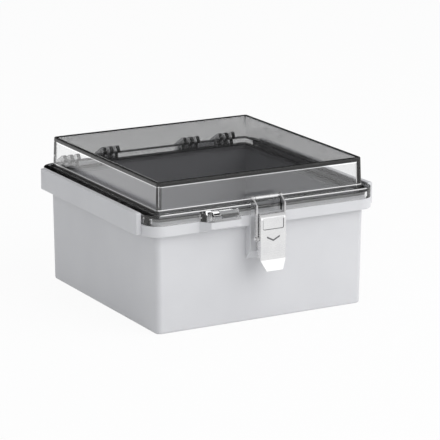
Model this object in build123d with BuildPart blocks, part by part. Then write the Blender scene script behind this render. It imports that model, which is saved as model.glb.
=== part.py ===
from build123d import *

import os
from math import cos, radians, sin

# Waterproof enclosure with a clear hinged lid and a stainless toggle latch.
# Millimetres, +Z up. The origin is the centre of the underside, the latch is at -Y and the hinges are at +Y.

os.makedirs("parts", exist_ok=True)

# Base tub
tub_mouth = 202.0           # outer length and depth at the rim's top
tub_lean = 1.0              # how far each side draws in towards the underside
tub_corner_r = 5.0
tub_foot_edge_r = 2.0
wall = 3.0                  # tub wall and floor
rim_z = 94.7                # parting plane, the rim's top
rim_out_x = 9.0             # rim beyond the tub, along X
rim_out_y = 6.4             # rim beyond the tub, along Y
rim_corner_r = 14.3
rim_height = 9.1
rim_skin = 3.0
rim_skirt = 2.5
rim_rib = 2.0
rim_ribs_per_side = 4

# Guard rails beside the lid's flange
rail_t = 4.7
rail_rise = 9.6             # rail's top above the rim
rail_end_inset = 15.4       # rail's end from the rim's front and back
rail_edge_r = 1.2
rail_top_r = 0.6

# Tongue, groove and gasket
seal_out = 0.2              # the seal's middle, out from the tub's outer face
seal_corner_r = 5.0
tongue_t = 3.0
tongue_h = 3.0
groove_side_gap = 0.5
groove_depth = 5.2
gasket_gap = 0.3            # gasket above the tongue
gasket_side_gap = 0.05

# Lid
part_gap = 0.3              # lid above the rim, and heads beside what they hold
flange_gap = 0.4            # lid flange inside the guard rails
flange_t = 9.0
flange_skin = 3.0
flange_edge_r = 0.8
flange_pocket_w = 2.8
flange_pocket_r = 1.0
flange_pocket_inset = 19.4  # pocket's end from the flange's front and back
lid_inset_x = 1.45          # raised box inside the tub's outer face, along X
lid_inset_y = 0.85          # and along Y
lid_lean = 0.85             # how far each side of the raised box draws in
lid_rise = 26.0             # raised box above the flange
lid_wall = 3.6
lid_top_t = 4.2
lid_corner_r = 3.0
lid_inner_r = 1.5
lid_edge_r = 1.5
lid_foot_r = 2.6

# Hinges
hinge_inset = 50.5          # middle of each hinge from the rim's end
axis_out = 8.6              # hinge axis behind the rim
axis_rise = 3.3             # and above it
hinge_pin_d = 4.0
hinge_pin_tail = 0.8        # pin beyond its retaining ring
hinge_pin_nose = 0.4
hinge_head_d = 6.4
hinge_head_t = 1.2
hinge_head_edge_r = 0.5
knuckle_width = 19.0
knuckle_r = 4.5
knuckle_web_root = 0.6      # how deep the web sits in the rim
knuckle_web_drop = 2.2      # web's root below the rim's top
knuckle_web_h = 5.6
fin_t = 3.6
fin_side_gap = 0.6          # first fin beside the knuckle
fin_space = 3.0             # between neighbouring fins
fins_per_side = 3
fin_eye_r = 5.0
fin_peak_in = 4.1           # fin's peak inside the flange's edge
fin_peak_rise = 4.1         # and above the flange
fin_peak_r = 2.6
pin_fit = 0.06              # running fit, on the radius
ring_d = 7.0
ring_t = 0.8

# Latch pedestal and bracket
pedestal_width = 32.0
pedestal_out = 0.6          # pedestal's face in front of the rim
pedestal_drop = 31.7        # pedestal's foot below the rim's top
pedestal_slope = 10.0
bracket_width = 21.2
bracket_height = 18.0
bracket_t = 1.0
bracket_inset_z = 3.0       # bracket's foot above the pedestal's
bracket_ear_out = 3.8       # ears in front of the pedestal
bracket_eye_r = 3.6
bracket_eye_deg = 60.0
screw_inset_z = 4.0         # lower screw above the bracket's foot
screw_pitch = 10.0
screw_d = 3.0
screw_length = 7.0
screw_head_d = 5.6
screw_head_t = 1.7
screw_hole_gap = 0.15
insert_d = 4.6
insert_length = 8.0

# Lever
lever_axis_out = 5.5        # lever's pivot in front of the pedestal
lever_axis_drop = 3.7       # and below the rim's top
lever_side_gap = 0.5        # lever's cheek beside the bracket's ear
lever_t = 1.0
lever_curl_r = 5.5          # outer radius round the pivot
lever_curl_deg = 75.0
lever_flat_length = 34.1    # from the pivot down to the flared tip
lever_cheek_depth = 5.0
lever_cheek_inset = 1.2     # cheek's foot above the flared tip
lever_tip_length = 8.9
lever_tip_out = 3.0
lever_tip_taper = 4.35      # on each side
lever_panel_margin = 2.0
lever_panel_length = 8.0    # from the pivot down
lever_panel_depth = 0.4
lever_panel_r = 1.5
lever_bend_r = 0.4          # long edges, bent from the front into the cheeks
pivot_pin_d = 3.0

# Bail
bail_axis_drop = 16.0       # bail's pivot below the lever's
bail_pin_d = 2.0
bail_head_d = 3.2
bail_head_t = 0.4
washer_d = 4.0
washer_t = 0.5
washer_gap = 0.2            # arm beside its washer
arm_t = 1.5
arm_width = 3.0
arm_bend_rise = 0.6         # outside of the bend above the flange
arm_foot_r = 2.2
catch_in = 0.9              # crossbar's middle behind the flange's edge
catch_rise = 4.4            # and above the flange
catch_eye_r = 2.1
crossbar_d = 3.2
crossbar_shoulder = 2.2     # thin end between the shoulder and the arm
crossbar_end_d = 2.2
crossbar_head_d = 3.4
crossbar_head_t = 0.4
notch_gap = 0.4             # lid notch beside and behind the bail

# Padlock tab on the lid and lug on the base
tab_left_x = -64.0
tab_right_x = -29.5
tab_out = 8.8               # tab in front of the flange
tab_step = 0.9              # tab's root below the flange's top
tab_front_drop = 4.4
tab_corner = 6.5
tab_leaf = 16.5             # length of the sloped part, left of the barrel
tab_barrel_r = 3.3
tab_barrel_out = 2.2
tab_barrel_drop = 4.4
tab_lip_h = 2.4
lug_nose_h = 5.5
padlock_in_x = 8.0          # hole's middle from the tab's left end
padlock_in_y = 4.3          # and from its front
padlock_d = 5.4

# Inside and underside
plate_gap = 5.0             # mounting plate inside the tub's wall
plate_t = 2.5
plate_corner_r = 8.0
plate_grid_pitch = 56.0
plate_grid_count = 3
plate_grid_d = 3.4
boss_inset = 8.0            # boss's middle in from the plate's edge
boss_d = 11.0
boss_top_z = 17.0
plate_insert_d = 5.6
plate_insert_length = 8.0
plate_screw_d = 4.0
plate_screw_length = 9.0
plate_screw_head_d = 7.0
plate_screw_head_t = 2.4
plate_hole_gap = 0.3
wall_pitch = 140.0
wall_boss_d = 12.0
wall_boss_cap = 2.5         # closed end of each boss over its insert
wall_insert_length = 7.0
wall_insert_bore_d = 3.3

# Screw heads, as shares of the head
cross_length = 0.55
cross_width = 0.14
cross_depth = 0.5
head_round = 0.33

# Derived places: tub, rim and seal
tub_foot = tub_mouth - 2 * tub_lean
rim_x = tub_mouth + 2 * rim_out_x
rim_y = tub_mouth + 2 * rim_out_y
front_y = -rim_y / 2
back_y = rim_y / 2
rim_foot_z = rim_z - rim_height
rail_length = rim_y - 2 * rail_end_inset
rail_h = rim_height + rail_rise
seal_line = tub_mouth + 2 * seal_out
groove_w = tongue_t + 2 * groove_side_gap

# Derived places: lid
lid_foot_z = rim_z + part_gap
tongue_top_z = rim_z + tongue_h
groove_top_z = lid_foot_z + groove_depth
flange_top_z = lid_foot_z + flange_t
flange_under_z = flange_top_z - flange_skin
flange_x = rim_x - 2 * flange_gap
flange_y = rim_y
flange_pocket_length = flange_y - 2 * flange_pocket_inset
lid_foot_x = tub_mouth - 2 * lid_inset_x
lid_foot_y = tub_mouth - 2 * lid_inset_y
lid_crown_x = lid_foot_x - 2 * lid_lean
lid_crown_y = lid_foot_y - 2 * lid_lean
lid_top_z = flange_top_z + lid_rise

# Derived places: hinges
hinge_x = rim_x / 2 - hinge_inset
axis_y = back_y + axis_out
axis_z = rim_z + axis_rise
fin_first = knuckle_width / 2 + fin_side_gap + fin_t / 2
fin_pitch = fin_t + fin_space
fin_outer_x = fin_first + fin_pitch * (fins_per_side - 1) + fin_t / 2
fin_peak_y = back_y - fin_peak_in
fin_peak_z = flange_top_z + fin_peak_rise
pin_seat_x = fin_outer_x + part_gap

# Derived places: latch
pedestal_y = front_y - pedestal_out
pedestal_foot_z = rim_z - pedestal_drop
bracket_foot_z = pedestal_foot_z + bracket_inset_z
bracket_top_z = bracket_foot_z + bracket_height
bracket_ear_y = pedestal_y - bracket_ear_out
screw_z = (bracket_foot_z + screw_inset_z, bracket_foot_z + screw_inset_z + screw_pitch)
lever_axis_y = pedestal_y - lever_axis_out
lever_axis_z = rim_z - lever_axis_drop
lever_width = bracket_width + 2 * (lever_side_gap + lever_t)
lever_y = lever_axis_y - lever_curl_r
lever_flat_end_z = lever_axis_z - lever_flat_length
lever_cheek_foot_z = lever_flat_end_z + lever_cheek_inset
lever_tip_z = lever_flat_end_z - lever_tip_length
lever_tip_width = lever_width - 2 * lever_tip_taper
lever_panel_width = lever_width - 2 * lever_panel_margin
lever_panel_foot_z = lever_axis_z - lever_panel_length
bail_axis_z = lever_axis_z - bail_axis_drop
arm_inner_x = lever_width / 2 + washer_t + washer_gap
arm_outer_x = arm_inner_x + arm_t
arm_bend_z = flange_top_z + arm_bend_rise
catch_y = front_y + catch_in
catch_z = flange_top_z + catch_rise
crossbar_length = 2 * (arm_inner_x - crossbar_shoulder)
notch_half = arm_outer_x + crossbar_head_t + notch_gap
notch_back_y = catch_y + catch_eye_r + notch_gap

# Derived places: padlock tab, inside and underside
tab_y = front_y - tab_out
tab_root_z = flange_top_z - tab_step
tab_front_z = flange_top_z - tab_front_drop
tab_barrel_left_x = tab_left_x + tab_leaf
tab_barrel_y = front_y - tab_barrel_out
tab_barrel_z = flange_top_z - tab_barrel_drop
tab_lip_z = lid_foot_z + tab_lip_h
padlock_x = tab_left_x + padlock_in_x
padlock_y = tab_y + padlock_in_y
plate_size = tub_foot - 2 * (wall + plate_gap)
plate_top_z = boss_top_z + plate_t
boss_pitch = plate_size - 2 * boss_inset
sides = ((-1, "left"), (1, "right"))


def square_ring(outer, inner, outer_r, inner_r):
    """A flat square ring, drawn in the sketch that is being built."""
    RectangleRounded(outer, outer, outer_r)
    RectangleRounded(inner, inner, inner_r, mode=Mode.SUBTRACT)


def seal_ring(width):
    """The seal's plan, as wide as asked, in the sketch that is being built."""
    square_ring(seal_line + width, seal_line - width, seal_corner_r + width / 2, seal_corner_r - width / 2)


def is_lid_foot(edge):
    """Whether an edge lies where the raised box meets the flange's top."""
    box = edge.bounding_box()
    level = box.min.Z > flange_top_z - flange_edge_r / 2 and box.max.Z < flange_top_z + flange_edge_r / 2
    inside_x = max(abs(box.min.X), abs(box.max.X)) < lid_foot_x / 2 + flange_edge_r
    inside_y = max(abs(box.min.Y), abs(box.max.Y)) < lid_foot_y / 2 + flange_edge_r
    return level and inside_x and inside_y


def fin_offsets():
    """Middles of one hinge's fins, from the hinge's middle."""
    steps = [fin_first + fin_pitch * n for n in range(fins_per_side)]
    return [-s for s in reversed(steps)] + steps


# Base shell: tub, rim, rails, tongue, knuckles, pedestal and padlock lug
with BuildPart() as base_shell:
    with BuildSketch(Plane.XY):
        RectangleRounded(tub_foot, tub_foot, tub_corner_r)
    with BuildSketch(Plane.XY.offset(rim_z)):
        RectangleRounded(tub_mouth, tub_mouth, tub_corner_r)
    loft()
    fillet(base_shell.faces().sort_by(Axis.Z)[0].edges(), tub_foot_edge_r)

    with BuildSketch(Plane.XY.offset(rim_foot_z)):
        RectangleRounded(rim_x, rim_y, rim_corner_r)
    extrude(amount=rim_height)
    with BuildSketch(Plane.XY.offset(rim_foot_z)):
        RectangleRounded(rim_x - 2 * rim_skirt, rim_y - 2 * rim_skirt, rim_corner_r - rim_skirt)
        RectangleRounded(tub_mouth, tub_mouth, tub_corner_r, mode=Mode.SUBTRACT)
    extrude(amount=rim_height - rim_skin, mode=Mode.SUBTRACT)

    # Stiffening ribs in the channel under the rim
    rib_pitch = tub_mouth / (rim_ribs_per_side + 1)
    rib_z = rim_z - rim_skin
    with BuildSketch(Plane.XY.offset(rib_z)):
        with GridLocations(rib_pitch, 0, rim_ribs_per_side, 1):
            Rectangle(rim_rib, rim_y - rim_skirt)
        with GridLocations(0, rib_pitch, 1, rim_ribs_per_side):
            Rectangle(rim_x - rim_skirt, rim_rib)
    extrude(amount=-(rim_height - rim_skin))

    # Guard rails along both sides
    for side in (-1, 1):
        rail_x = side * (rim_x + rail_t) / 2
        with BuildSketch(Plane((rail_x, 0, rim_foot_z + rail_h / 2), x_dir=(0, 1, 0), z_dir=(1, 0, 0))):
            RectangleRounded(rail_length, rail_h, rail_edge_r)
        extrude(amount=rail_t / 2, both=True)
    rail_crest = base_shell.faces().sort_by(Axis.Z)[-2:]
    fillet(rail_crest.edges().filter_by(Axis.Y), rail_top_r)

    # Latch pedestal, sloped at its foot
    with BuildSketch(Plane.YZ):
        Polygon(
            (-tub_foot / 2 + wall / 2, pedestal_foot_z - pedestal_slope),
            (-tub_foot / 2 + wall / 2, rim_z),
            (pedestal_y, rim_z),
            (pedestal_y, pedestal_foot_z),
            align=None,
        )
    extrude(amount=pedestal_width / 2, both=True)

    # Padlock lug, a wedge under the lid's tab
    with BuildSketch(Plane.YZ.offset(tab_left_x)):
        Polygon(
            (front_y + rim_skirt, rim_foot_z),
            (front_y + rim_skirt, rim_z),
            (tab_y, rim_z),
            (tab_y, rim_z - lug_nose_h),
            (front_y, rim_foot_z),
            align=None,
        )
    extrude(amount=tab_right_x - tab_left_x)
    with BuildSketch(Plane.XY.offset(rim_z)):
        Polygon((tab_left_x, front_y), (tab_left_x, tab_y), (tab_left_x + tab_corner, tab_y), align=None)
    extrude(amount=-rim_height, mode=Mode.SUBTRACT)

    # Hinge knuckles with their webs
    for side, word in sides:
        with BuildSketch(Plane.YZ.offset(side * hinge_x)):
            with Locations((axis_y, axis_z)):
                Circle(knuckle_r)
            with Locations((back_y, rim_z - knuckle_web_drop)):
                Rectangle(knuckle_web_root, knuckle_web_h, align=(Align.MAX, Align.MAX))
            make_hull()
        extrude(amount=knuckle_width / 2, both=True)

    # Cavity
    with BuildSketch(Plane.XY.offset(wall)):
        RectangleRounded(tub_foot - 2 * wall, tub_foot - 2 * wall, tub_corner_r - wall)
    with BuildSketch(Plane.XY.offset(rim_z)):
        RectangleRounded(tub_mouth - 2 * wall, tub_mouth - 2 * wall, tub_corner_r - wall)
    loft(mode=Mode.SUBTRACT)

    # Tongue that presses into the gasket
    with BuildSketch(Plane.XY.offset(rim_z)):
        seal_ring(tongue_t)
    extrude(amount=tongue_h)

    # Bosses for the mounting plate and for the wall brackets
    with BuildSketch(Plane.XY.offset(wall)):
        with GridLocations(boss_pitch, boss_pitch, 2, 2):
            Circle(boss_d / 2)
    extrude(amount=boss_top_z - wall)
    with BuildSketch(Plane.XY.offset(wall)):
        with GridLocations(wall_pitch, wall_pitch, 2, 2):
            Circle(wall_boss_d / 2)
    extrude(amount=wall_insert_length + wall_boss_cap - wall)

    # Blind pockets for the inserts, and the through holes
    with BuildSketch(Plane.XY.offset(boss_top_z)):
        with GridLocations(boss_pitch, boss_pitch, 2, 2):
            Circle(plate_insert_d / 2)
    extrude(amount=-plate_insert_length, mode=Mode.SUBTRACT)
    with BuildSketch(Plane.XY):
        with GridLocations(wall_pitch, wall_pitch, 2, 2):
            Circle(plate_insert_d / 2)
    extrude(amount=wall_insert_length, mode=Mode.SUBTRACT)
    with BuildSketch(Plane.XZ.offset(-pedestal_y)):
        with Locations(*[(0, z) for z in screw_z]):
            Circle(insert_d / 2)
    extrude(amount=-insert_length, mode=Mode.SUBTRACT)
    with BuildSketch(Plane.XY.offset(rim_z)):
        with Locations((padlock_x, padlock_y)):
            Circle(padlock_d / 2)
    extrude(amount=-rim_height, mode=Mode.SUBTRACT)
    for side, word in sides:
        with BuildSketch(Plane.YZ.offset(side * hinge_x)):
            with Locations((axis_y, axis_z)):
                Circle(hinge_pin_d / 2)
        extrude(amount=knuckle_width, both=True, mode=Mode.SUBTRACT)

# Solid form of the lid's flange, joined to the lid below
with BuildPart() as flange_form:
    with BuildSketch(Plane.XY.offset(lid_foot_z)):
        RectangleRounded(flange_x, flange_y, rim_corner_r)
    extrude(amount=flange_t)
    fillet(flange_form.faces().sort_by(Axis.Z)[-1].edges(), flange_edge_r)

# Lid shell: raised box, flange, groove, hinge fins and padlock tab
with BuildPart() as lid_shell:
    with BuildSketch(Plane.XY.offset(flange_under_z)):
        RectangleRounded(lid_foot_x, lid_foot_y, lid_corner_r)
    with BuildSketch(Plane.XY.offset(lid_top_z)):
        RectangleRounded(lid_crown_x, lid_crown_y, lid_corner_r)
    loft()
    fillet(lid_shell.faces().sort_by(Axis.Z)[-1].edges(), lid_edge_r)

    add(flange_form.part)

    # Fillet where the raised box meets the flange
    top_edges = lid_shell.edges().group_by(Axis.Z)
    foot_edges = [edge for group in top_edges for edge in group if is_lid_foot(edge)]
    fillet(foot_edges, lid_foot_r)

    # Padlock tab: sloped top, chamfered corner, barrel and lip
    with BuildSketch(Plane.YZ.offset(tab_left_x)):
        Polygon(
            (front_y + rim_skirt, lid_foot_z),
            (front_y + rim_skirt, tab_root_z),
            (front_y, tab_root_z),
            (tab_y, tab_front_z),
            (tab_y, lid_foot_z),
            align=None,
        )
    extrude(amount=tab_barrel_left_x - tab_left_x)
    with BuildSketch(Plane.YZ.offset(tab_barrel_left_x)):
        Polygon(
            (front_y + rim_skirt, lid_foot_z),
            (front_y + rim_skirt, tab_lip_z),
            (tab_y, tab_lip_z),
            (tab_y, lid_foot_z),
            align=None,
        )
        with Locations((tab_barrel_y, tab_barrel_z)):
            Circle(tab_barrel_r)
    extrude(amount=tab_right_x - tab_barrel_left_x)
    with BuildSketch(Plane.XY.offset(lid_foot_z)):
        Polygon((tab_left_x, front_y), (tab_left_x, tab_y), (tab_left_x + tab_corner, tab_y), align=None)
    extrude(amount=flange_t, mode=Mode.SUBTRACT)

    # Hinge fins, three on each side of each knuckle
    for side, word in sides:
        for offset_x in fin_offsets():
            with BuildSketch(Plane.YZ.offset(side * hinge_x + offset_x)):
                with Locations((axis_y, axis_z)):
                    Circle(fin_eye_r)
                with Locations((fin_peak_y, fin_peak_z)):
                    Circle(fin_peak_r)
                make_hull()
                with Locations((lid_foot_y / 2 - lid_wall / 2, flange_top_z - flange_skin / 2)):
                    Rectangle(
                        back_y - lid_foot_y / 2, fin_peak_z - flange_top_z + flange_skin / 2,
                        align=(Align.MIN, Align.MIN),
                    )
            extrude(amount=fin_t / 2, both=True)

    # Hollow of the raised box
    with BuildSketch(Plane.XY.offset(lid_foot_z)):
        RectangleRounded(lid_foot_x - 2 * lid_wall, lid_foot_y - 2 * lid_wall, lid_inner_r)
    with BuildSketch(Plane.XY.offset(lid_top_z - lid_top_t)):
        RectangleRounded(lid_crown_x - 2 * lid_wall, lid_crown_y - 2 * lid_wall, lid_inner_r)
    loft(mode=Mode.SUBTRACT)

    # Gasket groove, and the pockets that lighten the flange's long sides
    with BuildSketch(Plane.XY.offset(lid_foot_z)):
        seal_ring(groove_w)
    extrude(amount=groove_top_z - lid_foot_z, mode=Mode.SUBTRACT)
    pocket_x = flange_x / 2 - rim_skirt - flange_pocket_w / 2
    with BuildSketch(Plane.XY.offset(lid_foot_z)):
        with GridLocations(2 * pocket_x, 0, 2, 1):
            RectangleRounded(flange_pocket_w, flange_pocket_length, flange_pocket_r)
    extrude(amount=flange_under_z - lid_foot_z, mode=Mode.SUBTRACT)

    # Notch that the bail's crossbar and arms drop into
    notch_depth = notch_back_y - pedestal_y
    with BuildSketch(Plane.XY.offset(lid_foot_z)):
        with Locations((0, notch_back_y)):
            Rectangle(2 * notch_half, notch_depth, align=(Align.CENTER, Align.MAX))
    extrude(amount=flange_t, mode=Mode.SUBTRACT)

    # Padlock hole and the running holes of the hinge pins
    with BuildSketch(Plane.XY.offset(lid_foot_z)):
        with Locations((padlock_x, padlock_y)):
            Circle(padlock_d / 2)
    extrude(amount=flange_t, mode=Mode.SUBTRACT)
    with BuildSketch(Plane.YZ):
        with Locations((axis_y, axis_z)):
            Circle(hinge_pin_d / 2 + pin_fit)
    extrude(amount=rim_x / 2, both=True, mode=Mode.SUBTRACT)

# Gasket, seated in the top of the groove
with BuildPart() as lid_gasket:
    with BuildSketch(Plane.XY.offset(tongue_top_z + gasket_gap)):
        seal_ring(groove_w - 2 * gasket_side_gap)
    extrude(amount=groove_top_z - tongue_top_z - gasket_gap)

# Hinge pins, each with a head on its outer end and a ring on its inner end
ring_solids = []
for side, word in sides:
    outward = Plane((side * hinge_x, axis_y, axis_z), x_dir=(0, 1, 0), z_dir=(side, 0, 0))
    with BuildPart() as hinge_pin:
        with BuildSketch(outward.offset(-pin_seat_x - ring_t - hinge_pin_tail)):
            Circle(hinge_pin_d / 2)
        extrude(amount=2 * pin_seat_x + ring_t + hinge_pin_tail)
        with BuildSketch(outward.offset(pin_seat_x)):
            Circle(hinge_head_d / 2)
        extrude(amount=hinge_head_t)
        ends = hinge_pin.edges().filter_by(GeomType.CIRCLE).sort_by(Axis((0, 0, 0), (side, 0, 0)))
        fillet(ends[-1], hinge_head_edge_r)
        chamfer(ends[0], hinge_pin_nose)
    hinge_pin.part.label = "hinge_pin_" + word
    export_step(hinge_pin.part, "parts/hinge_pin_" + word + ".step")
    with BuildPart() as hinge_ring:
        with BuildSketch(outward.offset(-pin_seat_x - ring_t)):
            Circle(ring_d / 2)
            Circle(hinge_pin_d / 2, mode=Mode.SUBTRACT)
        extrude(amount=ring_t)
    ring_solids.append(hinge_ring.part.solid())

# Latch bracket: back plate and two ears
with BuildPart() as latch_bracket:
    eye_y = lever_axis_y + bracket_eye_r * cos(radians(bracket_eye_deg))
    eye_z = lever_axis_z - bracket_eye_r * sin(radians(bracket_eye_deg))
    with BuildSketch(Plane.XZ.offset(-pedestal_y)):
        with Locations((0, bracket_foot_z + bracket_height / 2)):
            Rectangle(bracket_width, bracket_height)
        with Locations(*[(0, z) for z in screw_z]):
            Circle(screw_d / 2 + screw_hole_gap, mode=Mode.SUBTRACT)
    extrude(amount=bracket_t)
    for side in (-1, 1):
        with BuildSketch(Plane.YZ.offset(side * (bracket_width - bracket_t) / 2)):
            Polygon(
                (pedestal_y, bracket_foot_z),
                (bracket_ear_y, bracket_foot_z + bracket_t * 2),
                (bracket_ear_y, bail_axis_z + arm_foot_r),
                (lever_axis_y - bracket_eye_r, lever_axis_z),
                (eye_y, eye_z),
                (pedestal_y - bracket_t, bracket_top_z),
                (pedestal_y, bracket_top_z),
                align=None,
            )
            with Locations((lever_axis_y, lever_axis_z)):
                Circle(bracket_eye_r)
                Circle(pivot_pin_d / 2, mode=Mode.SUBTRACT)
        extrude(amount=bracket_t / 2, both=True)

# Lever: curled plate with cheeks, a pressed panel and a flared tip
with BuildPart() as latch_lever:
    with BuildSketch(Plane.YZ):
        with BuildLine():
            curl_start = 180 - lever_curl_deg
            curl_out = CenterArc((lever_axis_y, lever_axis_z), lever_curl_r, curl_start, lever_curl_deg)
            curl_in_r = lever_curl_r - lever_t
            curl_in = CenterArc((lever_axis_y, lever_axis_z), curl_in_r, curl_start, lever_curl_deg)
            Line(curl_out @ 0, curl_in @ 0)
            Polyline(
                curl_out @ 1,
                (lever_y, lever_flat_end_z),
                (lever_y - lever_tip_out, lever_tip_z),
                (lever_y - lever_tip_out + lever_t, lever_tip_z),
                (lever_y + lever_t, lever_flat_end_z),
                curl_in @ 1,
            )
        make_face()
    extrude(amount=lever_width / 2, both=True)
    for side in (-1, 1):
        with BuildSketch(Plane.YZ.offset(side * (lever_width - lever_t) / 2)):
            with Locations((lever_axis_y, lever_axis_z)):
                Circle(lever_curl_r)
            with Locations((lever_y, lever_cheek_foot_z)):
                Rectangle(
                    lever_cheek_depth, lever_axis_z - lever_cheek_foot_z, align=(Align.MIN, Align.MIN)
                )
            with Locations((lever_axis_y, bail_axis_z)):
                Circle(arm_foot_r)
                Circle(bail_pin_d / 2, mode=Mode.SUBTRACT)
            with Locations((lever_axis_y, lever_axis_z)):
                Circle(pivot_pin_d / 2 + pin_fit, mode=Mode.SUBTRACT)
        extrude(amount=lever_t / 2, both=True)
    # Tapered tip
    with BuildSketch(Plane.XZ.offset(-lever_y - lever_t - lever_tip_out)):
        for side in (-1, 1):
            Polygon(
                (side * lever_width / 2, lever_flat_end_z),
                (side * lever_tip_width / 2, lever_tip_z),
                (side * lever_width / 2, lever_tip_z),
                align=None,
            )
    extrude(amount=2 * (lever_t + lever_tip_out), both=True, mode=Mode.SUBTRACT)
    fillet(latch_lever.edges().filter_by(Axis.Z).group_by(Axis.Y)[0], lever_bend_r)
    # Pressed panel near the pivot
    with BuildSketch(Plane.XZ.offset(-lever_y)):
        with Locations((0, lever_panel_foot_z)):
            RectangleRounded(
                lever_panel_width, lever_axis_z + lever_curl_r - lever_panel_foot_z, lever_panel_r,
                align=(Align.CENTER, Align.MIN),
            )
    extrude(amount=-lever_panel_depth, mode=Mode.SUBTRACT)

# Lever pivot pin, riveted flush in the bracket's ears
with BuildPart() as lever_pivot_pin:
    with BuildSketch(Plane.YZ):
        with Locations((lever_axis_y, lever_axis_z)):
            Circle(pivot_pin_d / 2)
    extrude(amount=lever_width / 2, both=True)

# Bail pivot pin, riveted in the lever's cheeks, with heads outside the arms
with BuildPart() as bail_pivot_pin:
    head_x = arm_outer_x + part_gap
    with BuildSketch(Plane.YZ):
        with Locations((lever_axis_y, bail_axis_z)):
            Circle(bail_pin_d / 2)
    extrude(amount=head_x, both=True)
    for side in (-1, 1):
        with BuildSketch(Plane.YZ.offset(side * (head_x + bail_head_t / 2))):
            with Locations((lever_axis_y, bail_axis_z)):
                Circle(bail_head_d / 2)
        extrude(amount=bail_head_t / 2, both=True)

# Washers between the lever and the bail's arms
washer_solids = []
for side in (-1, 1):
    with BuildPart() as bail_washer:
        with BuildSketch(Plane.YZ.offset(side * (lever_width + washer_t) / 2)):
            with Locations((lever_axis_y, bail_axis_z)):
                Circle(washer_d / 2)
                Circle(bail_pin_d / 2, mode=Mode.SUBTRACT)
        extrude(amount=washer_t / 2, both=True)
    washer_solids.append(bail_washer.part.solid())

# Bail arms: flat strips, upright and then bent back over the flange
for side, word in sides:
    with BuildPart() as latch_arm:
        with BuildSketch(Plane.YZ.offset(side * (arm_inner_x + arm_outer_x) / 2)):
            with BuildLine():
                Polyline(
                    (lever_axis_y, bail_axis_z),
                    (lever_axis_y, arm_bend_z - arm_width / 2),
                    (catch_y, catch_z),
                )
            trace(line_width=arm_width)
            with Locations((lever_axis_y, bail_axis_z)):
                Circle(arm_foot_r)
                Circle(bail_pin_d / 2 + pin_fit, mode=Mode.SUBTRACT)
            with Locations((catch_y, catch_z)):
                Circle(catch_eye_r)
                Circle(crossbar_end_d / 2, mode=Mode.SUBTRACT)
        extrude(amount=arm_t / 2, both=True)
    latch_arm.part.label = "latch_arm_" + word
    export_step(latch_arm.part, "parts/latch_arm_" + word + ".step")

# Crossbar, stepped down where it is riveted in the arms
with BuildPart() as latch_crossbar:
    head_out_x = arm_outer_x + crossbar_head_t
    steps = ((0, crossbar_length / 2, crossbar_d), (crossbar_length / 2, arm_outer_x, crossbar_end_d),
             (arm_outer_x, head_out_x, crossbar_head_d))
    for near_x, far_x, across in steps:
        for side in (-1, 1):
            with BuildSketch(Plane.YZ.offset(side * (near_x + far_x) / 2)):
                with Locations((catch_y, catch_z)):
                    Circle(across / 2)
            extrude(amount=(far_x - near_x) / 2, both=True)


def pan_screw(seat, shank_d, length, head_d, head_t):
    """One pan-head screw, its head on the seat plane and its shank behind it."""
    with BuildPart() as screw:
        with BuildSketch(seat):
            Circle(shank_d / 2)
        extrude(amount=-length)
        with BuildSketch(seat):
            Circle(head_d / 2)
        extrude(amount=head_t)
        crown = screw.faces().sort_by(Axis(seat.origin, seat.z_dir))[-1]
        fillet(crown.edges(), head_t * head_round)
        with BuildSketch(seat.offset(head_t)):
            Rectangle(head_d * cross_length, head_d * cross_width)
            Rectangle(head_d * cross_width, head_d * cross_length)
        extrude(amount=-head_t * cross_depth, mode=Mode.SUBTRACT)
    return screw.part.solid()


def threaded_insert(mouth, outer_d, length, bore_d):
    """One brass insert, its mouth on the given plane."""
    with BuildPart() as insert:
        with BuildSketch(mouth):
            Circle(outer_d / 2)
            Circle(bore_d / 2, mode=Mode.SUBTRACT)
        extrude(amount=-length)
    return insert.part.solid()


# Screws that hold the bracket, in inserts moulded in the pedestal
bracket_face = -pedestal_y + bracket_t
screw_seats = [Plane((0, -bracket_face, z), x_dir=(1, 0, 0), z_dir=(0, -1, 0)) for z in screw_z]
insert_seats = [Plane((0, pedestal_y, z), x_dir=(1, 0, 0), z_dir=(0, -1, 0)) for z in screw_z]
bracket_screws = [
    pan_screw(seat, screw_d, screw_length, screw_head_d, screw_head_t)
    for seat in screw_seats
]
bracket_inserts = [
    threaded_insert(seat, insert_d, insert_length, screw_d)
    for seat in insert_seats
]

# Mounting plate on the four bosses, with a grid of pilot holes
boss_half = boss_pitch / 2
wall_half = wall_pitch / 2
boss_spots = [(x, y) for x in (-boss_half, boss_half) for y in (-boss_half, boss_half)]
wall_spots = [(x, y) for x in (-wall_half, wall_half) for y in (-wall_half, wall_half)]
with BuildPart() as mounting_plate:
    with BuildSketch(Plane.XY.offset(boss_top_z)):
        RectangleRounded(plate_size, plate_size, plate_corner_r)
        with Locations(*boss_spots):
            Circle(plate_screw_d / 2 + plate_hole_gap, mode=Mode.SUBTRACT)
        with GridLocations(plate_grid_pitch, plate_grid_pitch, plate_grid_count, plate_grid_count):
            Circle(plate_grid_d / 2, mode=Mode.SUBTRACT)
    extrude(amount=plate_t)

# Screws and inserts of the plate, and inserts for the wall brackets
plate_seats = [Plane((x, y, plate_top_z)) for x, y in boss_spots]
plate_screws = [
    pan_screw(seat, plate_screw_d, plate_screw_length, plate_screw_head_d, plate_screw_head_t)
    for seat in plate_seats
]
plate_inserts = [
    threaded_insert(Plane((x, y, boss_top_z)), plate_insert_d, plate_insert_length, plate_screw_d)
    for x, y in boss_spots
]
wall_seats = [Plane((x, y, 0), z_dir=(0, 0, -1)) for x, y in wall_spots]
wall_inserts = [
    threaded_insert(seat, plate_insert_d, wall_insert_length, wall_insert_bore_d)
    for seat in wall_seats
]

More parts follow.
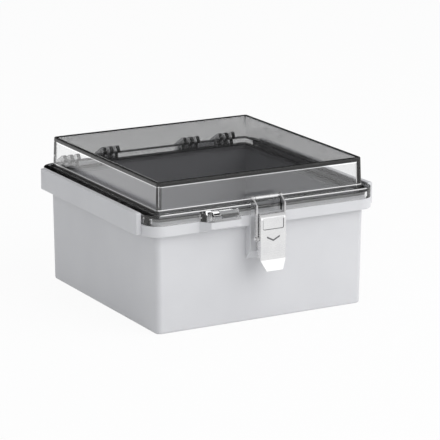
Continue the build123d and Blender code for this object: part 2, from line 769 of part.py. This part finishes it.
# Labels and files
named = {
    "base_shell": base_shell,
    "lid_shell": lid_shell,
    "lid_gasket": lid_gasket,
    "latch_bracket": latch_bracket,
    "latch_lever": latch_lever,
    "lever_pivot_pin": lever_pivot_pin,
    "bail_pivot_pin": bail_pivot_pin,
    "latch_crossbar": latch_crossbar,
    "mounting_plate": mounting_plate,
}
for name, piece in named.items():
    piece.part.label = name
    export_step(piece.part, "parts/" + name + ".step")

grouped = {
    "hinge_rings": ring_solids,
    "bail_washers": washer_solids,
    "bracket_screws": bracket_screws,
    "bracket_inserts": bracket_inserts,
    "plate_screws": plate_screws,
    "plate_inserts": plate_inserts,
    "wall_inserts": wall_inserts,
}
for name, solids in grouped.items():
    export_step(Compound(label=name, children=solids), "parts/" + name + ".step")
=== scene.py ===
import math

import bmesh
import bpy
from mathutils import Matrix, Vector


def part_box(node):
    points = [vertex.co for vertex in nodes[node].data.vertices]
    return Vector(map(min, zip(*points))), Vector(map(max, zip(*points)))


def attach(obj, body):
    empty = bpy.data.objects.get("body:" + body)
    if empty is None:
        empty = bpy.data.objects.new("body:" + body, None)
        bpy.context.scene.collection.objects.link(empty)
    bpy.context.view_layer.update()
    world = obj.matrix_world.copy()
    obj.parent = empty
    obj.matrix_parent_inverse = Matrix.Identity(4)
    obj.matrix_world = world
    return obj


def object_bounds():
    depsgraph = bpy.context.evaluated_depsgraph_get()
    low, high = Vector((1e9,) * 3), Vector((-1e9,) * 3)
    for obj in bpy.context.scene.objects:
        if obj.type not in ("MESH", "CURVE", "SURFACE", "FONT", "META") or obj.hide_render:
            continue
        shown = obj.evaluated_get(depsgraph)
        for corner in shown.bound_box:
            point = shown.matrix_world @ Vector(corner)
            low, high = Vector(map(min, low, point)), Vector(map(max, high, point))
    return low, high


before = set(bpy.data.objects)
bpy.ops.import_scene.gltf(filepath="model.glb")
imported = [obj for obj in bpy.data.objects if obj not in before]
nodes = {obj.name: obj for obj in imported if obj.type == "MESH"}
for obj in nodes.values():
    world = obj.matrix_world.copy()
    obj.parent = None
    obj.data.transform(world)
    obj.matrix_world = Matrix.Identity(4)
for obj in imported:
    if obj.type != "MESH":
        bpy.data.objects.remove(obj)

# Looks of the waterproof enclosure: camera, floor, lamps, materials and the small pieces that only show.
# Metres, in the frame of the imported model. The latch is at -Y, the hinges at +Y, and left is -X.

cad_low, cad_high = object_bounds()
flange_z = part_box("base_shell")[1].z    # the rails' top, level with the top of the lid's flange

# Camera, fitted to the photograph's straight edges: angles in degrees, lens and sensor in millimetres
camera_place = (-1.00034, -1.81424, 0.60248)
camera_yaw = -29.2445
camera_pitch = 14.5748
camera_roll = 0.1548
camera_lens = 199.59
camera_sensor = 36.0
camera_clip = (0.05, 50.0)

# Lever, as in the CAD part
lever_tip_out = 0.0030          # how far the flared tip stands in front of the lever's face
panel_margin = 0.0020
panel_drop = 0.0135             # panel's foot below the lever's top
panel_depth = 0.0004
panel_r = 0.0015

# Markings on the lever: a painted shadow line round the pressed panel, and a chevron
shadow_line_width = 0.00055
line_gap = 0.00003              # markings proud of the steel
panel_shadow_rise = 0.0085        # how far the panel's line runs up its sides
corner_steps = 6
chevron_drop = 0.0205           # its ends below the lever's top
chevron_half = 0.0062
chevron_h = 0.0032
chevron_w = 0.0015

# Floor
floor_size = 12.0
floor_colour = (0.86, 0.86, 0.86)
floor_white = 0.93              # share of plain white in what the camera sees of the floor

# World: soft light, and what faces show. A strength of 1 is white
ambient_colour = (0.96, 0.98, 1.0)
ambient_strength = 0.50
pale_card = 0.95                # what shiny faces see all round,
dark_card = 0.03                # behind the object,
bright_card = 0.85              # and added in front, where the lever's tip looks
ceiling_card = 0.25             # what shows through clear faces, high above the horizon
dark_middle = (0.473, 0.845, 0.252)     # directions of the dark and the bright card
bright_middle = (0.473, -0.826, 0.308)
dark_edge = (0.45, 0.85)        # each card sets in between these cosines to its middle
bright_edge = (0.90, 0.98)
ceiling_edge = (0.30, 0.60)     # and the ceiling between these heights of the direction

# Lamps, which look at the object's middle: name, place, watts, size
lamps = (
    ("key_lamp", (1.1, -1.5, 1.2), 34.0, 2.4),
    ("fill_lamp", (-1.8, -0.5, 0.9), 2.3, 1.3),
    ("top_lamp", (0.1, 0.4, 1.9), 5.0, 1.3),
)

# Grain of the materials: scales in cells per metre, and each bump's strength and height
noise_middle = (0.35, 0.65)     # where most of a noise's values lie
cloud_scale = 14.0
grain_bump = (0.18, 0.00006)
brushing_scale = 90.0
brushing_bump = (0.06, 0.00002)
smudge_scale = 60.0
haze_scale = 22.0
haze_bump = (0.0005, 0.00005)

# Clear lid: its plastic
lid_ior = 1.585
lid_specular = 0.5
lid_roughness = (0.0, 0.0004)
smoke_colour = (0.50, 0.51, 0.52)
smoke_density = 10.0
lid_lets_through = (0.56, 0.56, 0.565)  # share of shadow and diffuse rays that pass the lid's faces
rim_lets_through = (0.80, 0.80, 0.80)   # and at the upright faces of its flange

# Its tints, which paint shade on its top plate, edges, left ledge and fins, and the places that have them
mask_blur = 0.0003
lid_tint = (0.997, 1.0, 1.0)
# painted shade: the top plate's zone is tinted darker
top_plate_shade_tint = (0.78, 0.782, 0.785)
top_zone_h = 0.0046             # from the top down, a little more than the plate's thickness
# painted shade: rounded edges away from the far corner, and a band under the top edge, are tinted dark
edge_shade_tint = (0.18, 0.18, 0.183)
edge_turn = 0.985               # faces turned away from all three axes are rounded edges
far_corner = 0.190              # x + y of the corner farthest from the camera, clear in the photo
shade_band_h = 0.0040                 # the dark band along the top edge, on the walls' faces
shade_band_blur = 0.0001
# painted shade: the left ledge is tinted nearly black
ledge_shade_tint = (0.03, 0.03, 0.03)
ledge_x = 0.1033                # the flange's left ledge lies beyond this
ledge_unlit = 0.8               # how much of its mirroring is left out
# painted shade: the hinge fins are tinted dark, nearly black at their fronts and lighter at their sides
fin_front_shade_tint = (0.01, 0.01, 0.01)
fin_side_shade_tint = (0.45, 0.45, 0.455)
fins_y = 0.1035                 # behind this, above the flange, the hinge fins begin
flange_y = 0.1100               # and behind this, at any height
level_turn = 0.5                # faces whose normal's Z is more than this are level
facing = 0.9                    # and faces with more than this along an axis look along it
facing_blur = 0.01

# Painted highlights: hairlines on the lid's front and left that glow as if they caught the light
glint = 0.75                    # how bright they are, where 1 is white
glint_blur = 0.00008
glint_under = 0.0006            # height of the one under the top plate, on the walls' inner faces
glint_in = (0.0930, 0.0975)     # where the walls' inner faces lie
glint_out = 0.0990              # and their outer faces
glint_foot = (0.0017, 0.0024)   # the one at the walls' feet, above the flange
glint_left = 0.35               # and its brightness at the left wall, as a share
glint_edge = (-0.0009, 0.0001)  # the one on the flange's front edge, from the flange's top
glint_edge_y = 0.1064           # that edge lies beyond this


def add(tree, kind, inputs=None, **settings):
    """One shader node, with its settings, and its inputs as values or links."""
    made = tree.nodes.new("ShaderNode" + kind)
    for key, value in settings.items():
        setattr(made, key, value)
    for key, value in (inputs or {}).items():
        if isinstance(value, bpy.types.NodeSocket):
            tree.links.new(value, made.inputs[key])
        else:
            made.inputs[key].default_value = value
    return made


def combine(tree, operation, *values, **settings):
    """The values joined one after the other by a Math operation."""
    whole = values[0]
    for value in values[1:]:
        whole = add(tree, "Math", {0: whole, 1: value}, operation=operation, **settings).outputs[0]
    return whole


def ramp(tree, value, start, end, low=0.0, high=1.0, **settings):
    """A value that goes from low to high while the given one goes from start to end, and is held beyond."""
    inputs = {"Value": value, "From Min": start, "From Max": end, "To Min": low, "To Max": high}
    return add(tree, "MapRange", inputs, **settings).outputs["Result"]


def above(tree, value, limit, blur=mask_blur):
    """1 where a value lies above its limit, 0 below."""
    return ramp(tree, value, limit - blur, limit + blur)


def below(tree, value, limit, blur=mask_blur):
    """1 where a value lies below its limit, 0 above."""
    return ramp(tree, value, limit + blur, limit - blur)


def between(tree, value, low, high, blur):
    """1 where a value lies between two limits, 0 elsewhere."""
    return combine(tree, "SUBTRACT", above(tree, value, low, blur), above(tree, value, high, blur))


def tint(tree, value, first, second):
    """A colour between two, which are triples or links, by a value from 0 to 1.

    The Mix node has its colour inputs at 6 and 7, and its colour output at 2.
    """
    made = add(tree, "Mix", {0: value}, data_type="RGBA")
    for place, colour in ((6, first), (7, second)):
        if isinstance(colour, bpy.types.NodeSocket):
            tree.links.new(colour, made.inputs[place])
        else:
            made.inputs[place].default_value = (*colour, 1)
    return made.outputs[2]


def noise(tree, scale, stretch=(1, 1, 1), detail=3.0, roughness=0.55):
    """A noise value over the object's own coordinates. Scale is in cells per metre."""
    place = add(tree, "TexCoord").outputs["Object"]
    mapped = add(tree, "Mapping", {"Vector": place, "Scale": stretch}).outputs["Vector"]
    inputs = {"Vector": mapped, "Scale": scale, "Detail": detail, "Roughness": roughness}
    return add(tree, "TexNoise", inputs).outputs["Fac"]


def spread(tree, value, low, high):
    """The noise value's middle range spread from low to high."""
    return ramp(tree, value, *noise_middle, low, high)


def bump(tree, height, strength, distance):
    """A normal that follows a height value."""
    return add(tree, "Bump", {"Height": height, "Strength": strength, "Distance": distance}).outputs["Normal"]


def seen_directly(tree, glossy):
    """1 for rays that show what is behind the object, straight or through glass, before any diffuse bounce.

    With glossy, mirrored rays count too.
    """
    path = add(tree, "LightPath").outputs
    seen = combine(tree, "MAXIMUM", path["Is Camera Ray"], path["Is Transmission Ray"])
    if glossy:
        seen = combine(tree, "MAXIMUM", seen, path["Is Glossy Ray"])
    first = combine(tree, "LESS_THAN", path["Diffuse Depth"], 0.5)
    return combine(tree, "MULTIPLY", seen, first)


def new_material(name):
    """An empty node material and its tree."""
    made = bpy.data.materials.new(name)
    made.use_nodes = True
    made.node_tree.nodes.clear()
    return made, made.node_tree


def plastic(name, dark, light, low_rough, high_rough, grain_scale):
    """Moulded matt plastic: faint clouding in its colour, a fine grain in its gloss and surface."""
    made, tree = new_material(name)
    cloud = spread(tree, noise(tree, cloud_scale), 0.0, 1.0)
    grain = noise(tree, grain_scale)
    inputs = {
        "Base Color": tint(tree, cloud, dark, light),
        "Roughness": spread(tree, grain, low_rough, high_rough),
        "Normal": bump(tree, grain, *grain_bump),
        "IOR": 1.5,
    }
    shader = add(tree, "BsdfPrincipled", inputs)
    add(tree, "OutputMaterial", {"Surface": shader.outputs["BSDF"]})
    return made


def metal(name, dark, light, low_rough, high_rough, stretch):
    """Metal with fine level brushing, whose lines are so many times as long as they are high."""
    made, tree = new_material(name)
    brushing = noise(tree, brushing_scale, stretch=(1, 1, stretch), detail=4.0)
    smudge = spread(tree, noise(tree, smudge_scale), 0.0, 1.0)
    inputs = {
        "Base Color": tint(tree, smudge, dark, light),
        "Metallic": 1.0,
        "Roughness": spread(tree, brushing, low_rough, high_rough),
        "Normal": bump(tree, brushing, *brushing_bump),
    }
    shader = add(tree, "BsdfPrincipled", inputs)
    add(tree, "OutputMaterial", {"Surface": shader.outputs["BSDF"]})
    return made


def painted_glint_lines(tree, place, rounded):
    """1 on the hairlines painted as glowing highlights: under the top plate, at the walls' feet and along the
    flange's front edge.
    """
    under_z = cad_high.z - top_zone_h
    under = between(tree, place["Z"], under_z - glint_under, under_z, glint_blur)
    least = combine(tree, "MINIMUM", place["X"], place["Y"])
    under = combine(tree, "MULTIPLY", under, between(tree, least, -glint_in[1], -glint_in[0], glint_blur))
    left_wall = combine(tree, "MULTIPLY", below(tree, place["X"], -glint_out, glint_blur), glint_left)
    walls = combine(tree, "MAXIMUM", below(tree, place["Y"], -glint_out, glint_blur), left_wall)
    feet = between(tree, place["Z"], flange_z + glint_foot[0], flange_z + glint_foot[1], glint_blur)
    edge = between(tree, place["Z"], flange_z + glint_edge[0], flange_z + glint_edge[1], glint_blur)
    edge = combine(tree, "MULTIPLY", edge, below(tree, place["Y"], -glint_edge_y, glint_blur), rounded)
    return combine(tree, "MAXIMUM", under, combine(tree, "MULTIPLY", feet, walls), edge)


def clear_lid(name):
    """Clear, lightly smoked plastic, with painted shade in its top plate and fins, at its edges and on its
    left ledge.
    """
    made, tree = new_material(name)
    haze = noise(tree, haze_scale)
    place = add(tree, "SeparateXYZ", {"Vector": add(tree, "TexCoord").outputs["Object"]}).outputs
    true_normal = add(tree, "NewGeometry").outputs["True Normal"]
    turned = add(tree, "VectorMath", {0: true_normal}, operation="ABSOLUTE").outputs["Vector"]
    normal = add(tree, "SeparateXYZ", {"Vector": turned}).outputs
    upright = combine(tree, "MAXIMUM", normal["X"], normal["Y"])
    rounded = combine(tree, "LESS_THAN", combine(tree, "MAXIMUM", upright, normal["Z"]), edge_turn)
    level = above(tree, normal["Z"], level_turn)
    raised = above(tree, place["Z"], flange_z)

    # Painted shade, as masks and darker tints: edges away from the far corner, band under the top edge, left
    # ledge, fins, top plate
    near = below(tree, combine(tree, "ADD", place["X"], place["Y"]), far_corner)
    shade_band = above(tree, place["Z"], cad_high.z - shade_band_h, shade_band_blur)
    shade_band = combine(tree, "MULTIPLY", shade_band, above(tree, upright, facing, facing_blur))
    shaded_edges = combine(tree, "MAXIMUM", combine(tree, "MULTIPLY", raised, rounded, near), shade_band)
    shaded_ledge = combine(tree, "MULTIPLY", below(tree, place["X"], -ledge_x), level)
    shaded_fins = combine(tree, "MULTIPLY", raised, above(tree, place["Y"], fins_y))
    shaded_fins = combine(tree, "MAXIMUM", shaded_fins, above(tree, place["Y"], flange_y))
    fin_shade = tint(tree, above(tree, normal["X"], facing, facing_blur), fin_front_shade_tint, fin_side_shade_tint)
    # painted shade: the top plate's zone is tinted darker
    colour = tint(tree, above(tree, place["Z"], cad_high.z - top_zone_h), lid_tint, top_plate_shade_tint)
    for mask, shade in ((shaded_edges, edge_shade_tint), (shaded_ledge, ledge_shade_tint), (shaded_fins, fin_shade)):
        colour = tint(tree, mask, colour, shade)

    glass = add(tree, "BsdfPrincipled", {
        "Base Color": colour,
        "Roughness": spread(tree, haze, *lid_roughness),
        "Normal": bump(tree, haze, *haze_bump),
        "IOR": lid_ior,
        "Transmission Weight": 1.0,
        "Specular IOR Level": lid_specular,
        # painted highlights: the hairlines glow white through emission
        "Emission Color": (1, 1, 1, 1),
        "Emission Strength": combine(tree, "MULTIPLY", painted_glint_lines(tree, place, rounded), glint),
    })

    # Painted shade: the ledge is mostly seen through, as a dark face without its mirroring
    unlit = add(tree, "BsdfTransparent", {"Color": (*ledge_shade_tint, 1)})
    unmirrored = combine(tree, "MULTIPLY", shaded_ledge, ledge_unlit)
    seen = add(tree, "MixShader", {0: unmirrored, 1: glass.outputs[0], 2: unlit.outputs[0]})

    # Shadow and diffuse rays pass by a set share, so that the inside is lit
    share = tint(tree, combine(tree, "MAXIMUM", raised, level), rim_lets_through, lid_lets_through)
    passed = add(tree, "BsdfTransparent", {"Color": share})
    path = add(tree, "LightPath").outputs
    light = combine(tree, "MAXIMUM", path["Is Shadow Ray"], path["Is Diffuse Ray"])
    surface = add(tree, "MixShader", {0: light, 1: seen.outputs[0], 2: passed.outputs[0]})
    smoke = add(tree, "VolumeAbsorption", {"Color": (*smoke_colour, 1), "Density": smoke_density})
    add(tree, "OutputMaterial", {"Surface": surface.outputs[0], "Volume": smoke.outputs[0]})
    return made


def new_object(name, data):
    """An object in the scene."""
    made = bpy.data.objects.new(name, data)
    bpy.context.scene.collection.objects.link(made)
    return made


def mesh_object(name, mesh, material):
    """An object from a bmesh, with its material."""
    data = bpy.data.meshes.new(name)
    mesh.to_mesh(data)
    mesh.free()
    data.materials.append(material)
    return new_object(name, data)


def ribbon(name, outer, inner, y, material, body):
    """A flat band between two rows of (x, z) points, facing -Y, that rides on a body."""
    mesh = bmesh.new()
    rows = [[mesh.verts.new((x, y, z)) for x, z in row] for row in (outer, inner)]
    for n in range(len(outer) - 1):
        mesh.faces.new((rows[0][n], rows[0][n + 1], rows[1][n + 1], rows[1][n]))
    bmesh.ops.recalc_face_normals(mesh, faces=mesh.faces)
    if mesh.faces[0].normal.y > 0:
        bmesh.ops.reverse_faces(mesh, faces=mesh.faces)
    made = mesh_object(name, mesh, material)
    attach(made, body)


def u_shape(half_width, top, foot, radius):
    """Points of a U with round corners, from its left top down and up to its right top."""
    left = [(-half_width, top)]
    right = [(half_width, top)]
    for n in range(corner_steps + 1):
        turn = math.radians(90 * n / corner_steps)
        x = half_width - radius * (1 - math.cos(turn))
        z = foot + radius * (1 - math.sin(turn))
        left.append((-x, z))
        right.append((x, z))
    return left + right[::-1]


def lamp(name, place, target, power, size):
    """A square soft lamp that looks at a target, and that metal and glass don't show."""
    data = bpy.data.lights.new(name, "AREA")
    data.energy = power
    data.size = size
    made = new_object(name, data)
    made.visible_transmission = False
    made.visible_glossy = False
    made.location = place
    made.rotation_euler = (Vector(target) - Vector(place)).to_track_quat("-Z", "Y").to_euler()


def dress(material, *names):
    """Gives CAD nodes a material."""
    for name in names:
        nodes[name].data.materials.clear()
        nodes[name].data.materials.append(material)


# Camera
camera = new_object("camera", bpy.data.cameras.new("camera"))
bpy.context.scene.camera = camera
camera.location = camera_place
camera.rotation_euler = (math.radians(90 - camera_pitch), 0, math.radians(camera_yaw))
camera.rotation_euler.rotate_axis("Z", math.radians(camera_roll))
camera.data.lens = camera_lens
camera.data.sensor_width = camera_sensor
camera.data.clip_start, camera.data.clip_end = camera_clip
bpy.context.scene.view_settings.view_transform = "Standard"

# World: white behind the object, soft light on it, and cards round it that only shiny faces see
world = bpy.data.worlds.new("studio")
world.use_nodes = True
bpy.context.scene.world = world
tree = world.node_tree
tree.nodes.clear()
path = add(tree, "LightPath").outputs
direction = add(tree, "TexCoord").outputs["Generated"]
cards = []
for middle, edge, start, end in (
    (dark_middle, dark_edge, pale_card, dark_card),
    (bright_middle, bright_edge, 0.0, bright_card),
):
    cosine = add(tree, "VectorMath", {0: direction, 1: middle}, operation="DOT_PRODUCT").outputs["Value"]
    cards.append(ramp(tree, cosine, *edge, start, end, interpolation_type="SMOOTHSTEP"))
height = add(tree, "SeparateXYZ", {"Vector": direction}).outputs["Z"]
ceiling = ramp(tree, height, *ceiling_edge, 1.0, ceiling_card, interpolation_type="SMOOTHSTEP")
backdrop = combine(tree, "MAXIMUM", path["Is Camera Ray"], ceiling)
soft = add(tree, "Background", {"Color": (*ambient_colour, 1), "Strength": ambient_strength})
shown = add(tree, "Background", {"Strength": combine(tree, "ADD", *cards)})
white = add(tree, "Background", {"Color": (1, 1, 1, 1), "Strength": backdrop})
mirrored = combine(tree, "GREATER_THAN", path["Glossy Depth"], 0.5)
straight = combine(tree, "SUBTRACT", seen_directly(tree, False), mirrored, use_clamp=True)
lit = add(tree, "MixShader", {0: mirrored, 1: soft.outputs[0], 2: shown.outputs[0]})
sky = add(tree, "MixShader", {0: straight, 1: lit.outputs[0], 2: white.outputs[0]})
add(tree, "OutputWorld", {"Surface": sky.outputs[0]})

# Floor: pale, seen as nearly white, with the object's shadow kept
floor_paper, tree = new_material("floor_paper")
paper = add(tree, "BsdfDiffuse", {"Color": (*floor_colour, 1)})
glow = add(tree, "Emission", {"Color": (1, 1, 1, 1), "Strength": 1.0})
share = combine(tree, "MULTIPLY", seen_directly(tree, True), floor_white)
surface = add(tree, "MixShader", {0: share, 1: paper.outputs[0], 2: glow.outputs[0]})
add(tree, "OutputMaterial", {"Surface": surface.outputs[0]})
floor_mesh = bmesh.new()
bmesh.ops.create_grid(floor_mesh, x_segments=2, y_segments=2, size=floor_size / 2)
mesh_object("floor", floor_mesh, floor_paper)

for name, place, power, size in lamps:
    lamp(name, place, (0, 0, (cad_low.z + cad_high.z) / 2), power, size)

# Materials: name, darkest and lightest colour, lowest and highest roughness, and the grain's scale or stretch
base_abs = plastic("base_abs", (0.655, 0.655, 0.672), (0.69, 0.69, 0.705), 0.42, 0.55, 2600.0)
plate_abs = plastic("plate_abs", (0.60, 0.60, 0.61), (0.64, 0.64, 0.65), 0.45, 0.60, 2200.0)
rubber = plastic("gasket_rubber", (0.13, 0.13, 0.13), (0.17, 0.17, 0.17), 0.65, 0.85, 1500.0)
# painted shade and a mark: the dark line round the lever's panel stands for shadow, the chevron is a mark
mark_and_shade_line = plastic("lever_mark_and_painted_shade", (0.11, 0.11, 0.115), (0.15, 0.15, 0.155), 0.50, 0.60, 3000.0)
steel = metal("stainless", (0.74, 0.74, 0.75), (0.80, 0.80, 0.80), 0.16, 0.30, 26)
# painted shade: the arms' steel is a darker copy of the same stainless
shaded_arm_steel = metal("stainless_arms_shaded", (0.56, 0.56, 0.57), (0.62, 0.62, 0.62), 0.18, 0.32, 26)
brass = metal("brass", (0.60, 0.42, 0.16), (0.70, 0.50, 0.22), 0.22, 0.36, 20)

dress(base_abs, "base_shell")
dress(plate_abs, "mounting_plate")
dress(rubber, "lid_gasket")
dress(clear_lid("lid_pc"), "lid_shell")
dress(
    steel, "hinge_pin_left", "hinge_pin_right", "hinge_rings", "latch_bracket", "bracket_screws",
    "lever_pivot_pin", "latch_lever", "bail_pivot_pin", "bail_washers", "latch_crossbar", "plate_screws",
)
dress(shaded_arm_steel, "latch_arm_left", "latch_arm_right")
dress(brass, "bracket_inserts", "plate_inserts", "wall_inserts")

# Lever: a painted shadow line round its pressed panel, and a plain chevron where the hand pulls
lever_low, lever_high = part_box("latch_lever")
lever_face_y = lever_low.y + lever_tip_out
half = lever_high.x - panel_margin
foot = lever_high.z - panel_drop
top = foot + panel_shadow_rise
ribbon(
    "lever_panel_shadow_line", u_shape(half, top, foot, panel_r),
    u_shape(half - shadow_line_width, top, foot + shadow_line_width, panel_r - shadow_line_width),
    lever_face_y + panel_depth - line_gap, mark_and_shade_line, "lever",
)
ends_z = lever_high.z - chevron_drop
chevron = [(-chevron_half, ends_z), (0, ends_z - chevron_h), (chevron_half, ends_z)]
ribbon(
    "lever_chevron", [(x, z + chevron_w) for x, z in chevron], chevron,
    lever_face_y - line_gap, mark_and_shade_line, "lever",
)
